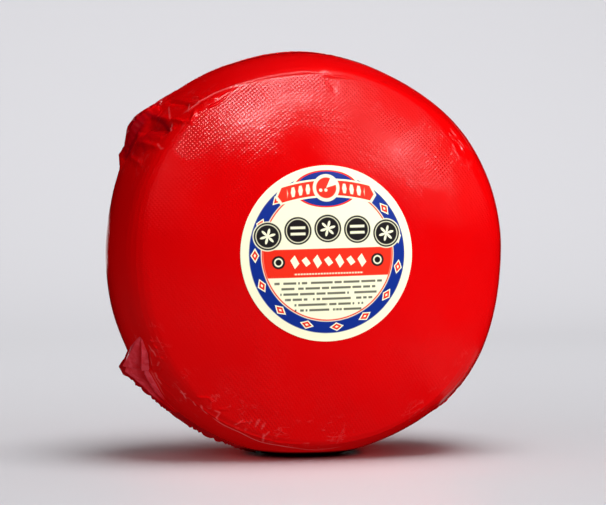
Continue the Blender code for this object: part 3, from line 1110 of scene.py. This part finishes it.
def band_print(shader, look, u, v, radius, colour):
    """A wide band across the middle with a row of leaf shapes, and a seal at each end."""
    band = between(v, -0.262, 0.06) * within(radius, 0.748)
    colour = shader.mix(band, colour, look.red)
    cell = (u + 0.065).modulo(0.13) - 0.065
    big = (abs(((u + 0.065) / 0.13).floor()).modulo(2) * 0.022) + 0.056
    leaf = abs(cell) / 0.052 + abs(v + 0.085 + cell * 0.35) / big
    colour = shader.mix(within(leaf, 1.0) * within(abs(u), 0.455), colour, look.cream)
    dot = ((abs(u) - 0.575) ** 2 + (v + 0.085) ** 2).root()
    colour = shader.mix(within(dot, 0.075), colour, look.black)
    colour = shader.mix(between(dot, 0.035, 0.05), colour, look.cream)
    line = between(v, -0.232, -0.216) * within(abs(u), 0.40) * abs((u * 95).sine()).ramp(0.25, 0.4)
    return shader.mix(line * 0.8, colour, look.cream)


def emblem_print(shader, look, u, v, colour):
    """At the top, a ribbon over an oval, with a cut wheel of cheese in the middle."""
    oval = ((u / 0.40) ** 2 + ((v - 0.735) / 0.225) ** 2).root()
    colour = inked(shader, colour, oval, (1.0, look.cream), (0.94, look.red), (0.87, look.blue))
    off_middle = abs(v - 0.745 + 0.28 * u * u)
    ribbon = off_middle / 0.105
    ends = abs(u) - 0.06 * (1 - ribbon)
    colour = shader.mix(within(ribbon, 1.0) * within(ends, 0.53), colour, look.cream)
    colour = shader.mix(within(ribbon, 0.80) * within(ends, 0.50), colour, look.red)
    stripe = abs(abs(u).modulo(0.085) - 0.0425) + 0.22 * off_middle
    on_wing = within(ribbon, 0.52) * between(abs(u), 0.18, 0.45)
    colour = shader.mix(within(stripe, 0.026) * on_wing, colour, look.cream)
    away = (u * u + (v - 0.745) ** 2).root()
    colour = shader.mix(within(away, 0.155), colour, look.cream)
    cut = within(abs((v - 0.745).arctan2(u) - 0.7), 0.42)
    colour = shader.mix(within(away, 0.118) * (1 - cut), colour, look.red)
    hole = ((abs(u + 0.035) - 0.03) ** 2 + (v - 0.72) ** 2).root()
    return shader.mix(within(hole, 0.018), colour, look.cream)


def seal_print(shader, look, u, v, colour):
    """Five dark round seals along a gentle arc."""
    gap = 0.345
    place = (u / gap + 0.5).floor().most(-2).least(2)
    across, up = u - place * gap, v - 0.285 + place * place * 0.018
    away = (across * across + up * up).root()
    colour = inked(shader, colour, away, (0.168, look.cream), (0.157, look.black))
    colour = shader.mix(between(away, 0.128, 0.136), colour, look.cream)
    petal = 0.055 + 0.035 * (up.arctan2(across) * 6).sine()
    even = abs(place).modulo(2)
    flower = within(away - petal, 0.0) * (1 - even)
    bars = within(abs(abs(up) - 0.035), 0.014) * within(abs(across), 0.085) * even
    return shader.mix(flower.most(bars), colour, look.cream)


class CHEESE_OT_stage(Operator):
    """Make the floor, the lights and the camera"""

    bl_idname = "cheese.stage"
    bl_label = "Studio"

    def execute(self, context):
        look = context.scene.cheese_studio
        make_backdrop(look)
        make_lights()
        make_camera(look)
        return {"FINISHED"}


FLOOR_SIZE = 12
FLOOR_MIDDLE = -3.4
WALL_HEIGHT = 3
WALL_CURVE = 1.8


def make_backdrop(look):
    """A floor that curves up into a wall behind."""
    settings = {"size": FLOOR_SIZE, "location": (0, FLOOR_MIDDLE, 0)}
    backdrop = start_piece("backdrop", bpy.ops.mesh.primitive_plane_add, **settings)
    bpy.ops.object.transform_apply(location=True)
    edit_mesh(select=False, kind="EDGE")
    bpy.ops.object.mode_set(mode="OBJECT")
    for edge in backdrop.data.edges:
        ends = [backdrop.data.vertices[i].co for i in edge.vertices]
        edge.select = all(end.y > 2 for end in ends)
    bpy.ops.object.mode_set(mode="EDIT")
    bpy.ops.mesh.extrude_edges_move(TRANSFORM_OT_translate={"value": (0, 0, WALL_HEIGHT)})
    leave_mesh()
    apply_modifier(backdrop, "BEVEL", width=WALL_CURVE, segments=40, limit_method="ANGLE")
    shader = Shader("pale_backdrop", Base_Color=(*look.floor, 1), Roughness=0.4, Specular_IOR_Level=0.5)
    backdrop.data.materials.append(shader.material)
    bpy.ops.object.shade_smooth()
    backdrop.visible_glossy = False
    backdrop.visible_diffuse = False


def direction(azimuth, elevation):
    """From the wheel towards a place this far round from the front and this high, in degrees."""
    a, e = math.radians(azimuth), math.radians(elevation)
    return np.array((math.sin(a) * math.cos(e), -math.cos(a) * math.cos(e), math.sin(e)))


def facing(aim, roll=0.0):
    """Euler angles that point an object's -Z along a direction, with its Y up before the roll."""
    turn = Vector(aim).to_track_quat("-Z", "Y").to_matrix()
    return (turn @ Matrix.Rotation(math.radians(roll), 3, "Z")).to_euler()


class PanelLight(NamedTuple):
    """A rectangular light: its middle, what it faces, its width and height in metres, and its radiance.

    The film mirrors it if mirrored is true. It lights things up if lighting is true, and then it reaches
    only the wheel or only the stage if one of them is named.
    """

    name: str
    place: tuple
    target: tuple
    size: tuple
    radiance: float
    colour: tuple = (1, 1, 1)
    roll: float = 0
    mirrored: bool = True
    lighting: bool = True
    only: str = ""


WHEEL_MIDDLE = (0, 0, FOOT_DROP)
FILL_DISTANCE = 2.2


def from_wheel(azimuth, elevation, distance):
    """A place in this direction from the middle of the wheel."""
    return tuple(distance * direction(azimuth, elevation) + np.array(WHEEL_MIDDLE))


def shine(name, azimuth, elevation, distance, size, radiance, roll=0):
    """A soft box that only shows as a reflection in the film."""
    place = from_wheel(azimuth, elevation, distance)
    return PanelLight(name, place, WHEEL_MIDDLE, size, radiance, roll=roll, lighting=False)


def fill(name, azimuth, elevation, size, radiance):
    """A soft light on the wheel that doesn't show in the film."""
    place = from_wheel(azimuth, elevation, FILL_DISTANCE)
    return PanelLight(name, place, WHEEL_MIDDLE, size, radiance, mirrored=False, only="wheel")


def wash(name, place, target, size, radiance, only, colour=(1, 1, 1)):
    """A soft light from any place, on the wheel or on the stage, that doesn't show in the film."""
    return PanelLight(name, place, target, size, radiance, colour, mirrored=False, only=only)


LIGHTS = (
    shine("key_softbox", -1, 50, 1.3, (0.68, 0.14), 25, roll=14),
    shine("key_core", -13, 42, 1.25, (0.18, 0.06), 92, roll=14),
    shine("right_softbox", 43, 26, 1.3, (0.07, 0.28), 38, roll=30),
    shine("wall_card", 176, -1, 2.0, (1.1, 0.16), 0.9),
    PanelLight("right_card", (0.17, -0.05, 0.002), (0.17, -0.05, 1), (0.12, 0.25), 0.2, lighting=False),
    fill("main_fill", 35, 27, (1.1, 1.0), 9.8),
    fill("key_fill", 28, 47, (1.2, 1.0), 3.0),
    fill("front_fill", 45, 48, (0.8, 0.8), 5.4),
    fill("right_fill", 66, 14, (1.0, 0.6), 5.0),
    fill("left_fill", -45, 25, (1.1, 1.0), 3.8),
    fill("rear_fill", 165, 25, (1.2, 1.2), 5.5),
    wash("top_fill", (0.1, 0.35, 2.3), (0.05, 0.25, 0), (2.4, 2.2), 1.1, "wheel"),
    wash("floor_light", (0.3, -0.3, 2.2), (0, 0, 0), (1.3, 1.3), 10, "stage"),
    wash("sky_light", (0, -2, 4), (0, -2, 0), (12, 10), 0.65, "stage"),
    wash("back_light", (0.9, 0.3, 1.5), (0.9, 3, 1.1), (4.0, 1.2), 2.55, "stage"),
    wash("floor_fill", (0, -0.1, 0.003), (0, -0.1, 1), (1.6, 1.6), 0.55, "wheel"),
    wash("red_bounce", (-0.01, -0.05, 0.02), (-0.01, -0.05, 0), (0.2, 0.12), 0.14, "stage", (1, 0.02, 0.05)),
)
SURROUND = (0.98, 0.98, 1.0, 1)
SURROUND_STRENGTH = 0.75
CAMERA_ASIDE, CAMERA_UP = -0.95 * MM, 0.5 * MM


def make_lights():
    """All the lights, and a pale surround that only the camera sees."""
    lit = {"wheel": bpy.data.collections.new("lit_wheel"), "stage": bpy.data.collections.new("lit_stage")}
    for piece in bpy.context.scene.objects:
        if piece.type == "MESH":
            lit["stage" if piece.name == "backdrop" else "wheel"].objects.link(piece)
    for panel in LIGHTS:
        data = bpy.data.lights.new(panel.name, "AREA")
        data.shape = "RECTANGLE"
        data.size, data.size_y = panel.size
        data.energy = panel.radiance * math.pi * panel.size[0] * panel.size[1]
        data.color = panel.colour
        light = bpy.data.objects.new(panel.name, data)
        bpy.context.scene.collection.objects.link(light)
        light.location = panel.place
        light.rotation_euler = facing(Vector(panel.target) - Vector(panel.place), panel.roll)
        light.visible_glossy = panel.mirrored
        light.visible_diffuse = panel.lighting
        light.visible_camera = False
        if panel.only:
            light.light_linking.receiver_collection = lit[panel.only]
    world = bpy.data.worlds.new("studio")
    bpy.context.scene.world = world
    world.use_nodes = True
    background = world.node_tree.nodes["Background"]
    background.inputs["Color"].default_value = SURROUND
    background.inputs["Strength"].default_value = SURROUND_STRENGTH
    world.cycles_visibility.glossy = False
    world.cycles_visibility.diffuse = False
    bpy.context.scene.view_settings.view_transform = "Standard"


def make_camera(look):
    """The photo's view: a long lens a little to the left of the front and nearly level."""
    away = direction(math.degrees(look.azimuth), math.degrees(look.elevation))
    right = np.array((math.cos(look.azimuth), math.sin(look.azimuth), 0))
    up = np.cross(right, -away)
    middle = np.array(WHEEL_MIDDLE) + CAMERA_ASIDE * right + CAMERA_UP * up
    data = bpy.data.cameras.new("camera")
    data.lens = look.lens
    data.sensor_width = 36
    data.clip_start = 0.01
    camera = bpy.data.objects.new("camera", data)
    bpy.context.scene.collection.objects.link(camera)
    camera.location = middle + look.distance * away
    camera.rotation_euler = facing(-away)
    bpy.context.scene.camera = camera


class CHEESE_PT_panel(Panel):
    """Lists the pieces in the sidebar"""

    bl_label = "Ball of cheese"
    bl_idname = "CHEESE_PT_panel"
    bl_space_type = "VIEW_3D"
    bl_region_type = "UI"
    bl_category = "Cheese"

    def draw(self, context):
        for operator in OPERATORS:
            self.layout.operator(operator.bl_idname)


OPERATORS = (CHEESE_OT_film, CHEESE_OT_flaps, CHEESE_OT_seams, CHEESE_OT_label, CHEESE_OT_stage)
LOOKS = {"cheese_film": FilmLook, "cheese_label": LabelLook, "cheese_studio": StudioLook}
CLASSES = (*LOOKS.values(), *OPERATORS, CHEESE_PT_panel)


def register():
    """Adds the classes and the scene's settings."""
    for kind in CLASSES:
        bpy.utils.register_class(kind)
    for name, look in LOOKS.items():
        setattr(bpy.types.Scene, name, PointerProperty(type=look))


def unregister():
    """Takes them away again."""
    for name in LOOKS:
        delattr(bpy.types.Scene, name)
    for kind in reversed(CLASSES):
        bpy.utils.unregister_class(kind)


def main():
    register()
    bpy.ops.cheese.film()
    bpy.ops.cheese.flaps()
    bpy.ops.cheese.seams()
    bpy.ops.cheese.label()
    bpy.ops.cheese.stage()


if __name__ == "__main__":
    main()
